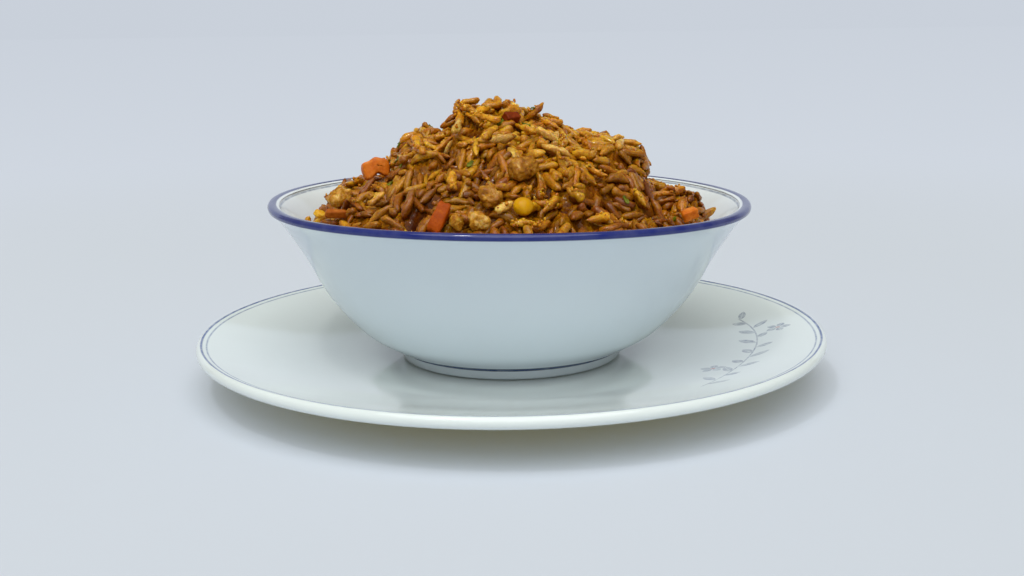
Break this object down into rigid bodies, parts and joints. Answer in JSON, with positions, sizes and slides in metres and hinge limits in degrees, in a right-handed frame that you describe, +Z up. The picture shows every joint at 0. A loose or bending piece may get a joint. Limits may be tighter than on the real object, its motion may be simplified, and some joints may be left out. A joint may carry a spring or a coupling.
{
  "type": "bowl of fried rice on a plate",
  "caption": "Soy-browned fried rice with carrot, corn and egg, heaped in a footed white bowl with a blue lip, standing on a shallow white plate with blue lines.",
  "frame": {"origin": "centre of the plate's foot ring, on the surface it stands on", "axes": "+Z up, -Y towards the viewer of the picture, +X to the viewer's right"},
  "size_m": [0.2342, 0.2342, 0.1056],
  "materials": {
    "plate_porcelain": "glossy glaze over white porcelain, two thin blue-grey lines",
    "bowl_porcelain": "glossy glaze over white porcelain, cobalt blue lip",
    "rice": "moist cooked grains browned with soy sauce, slightly oily",
    "carrot": "moist cooked carrot",
    "red_pepper": "moist dark red vegetable",
    "corn": "smooth moist sweetcorn skin",
    "egg": "soft cooked egg and meat, moist"
  },
  "bodies": {
    "root": {"plate": "plate_porcelain", "bowl": "bowl_porcelain", "rice_heap": "rice", "carrot_dice_left": "carrot", "carrot_stick_front": "carrot", "carrot_bit_right": "carrot", "carrot_sliver_left": "red_pepper", "pepper_bit_top": "red_pepper", "corn_kernel": "corn", "egg_bit_left": "corn", "egg_lump_left": "egg", "egg_lump_centre": "egg", "egg_lump_middle": "egg", "meat_bit_front": "egg", "meat_bit_front_left": "egg"}
  },
  "joints": []
}
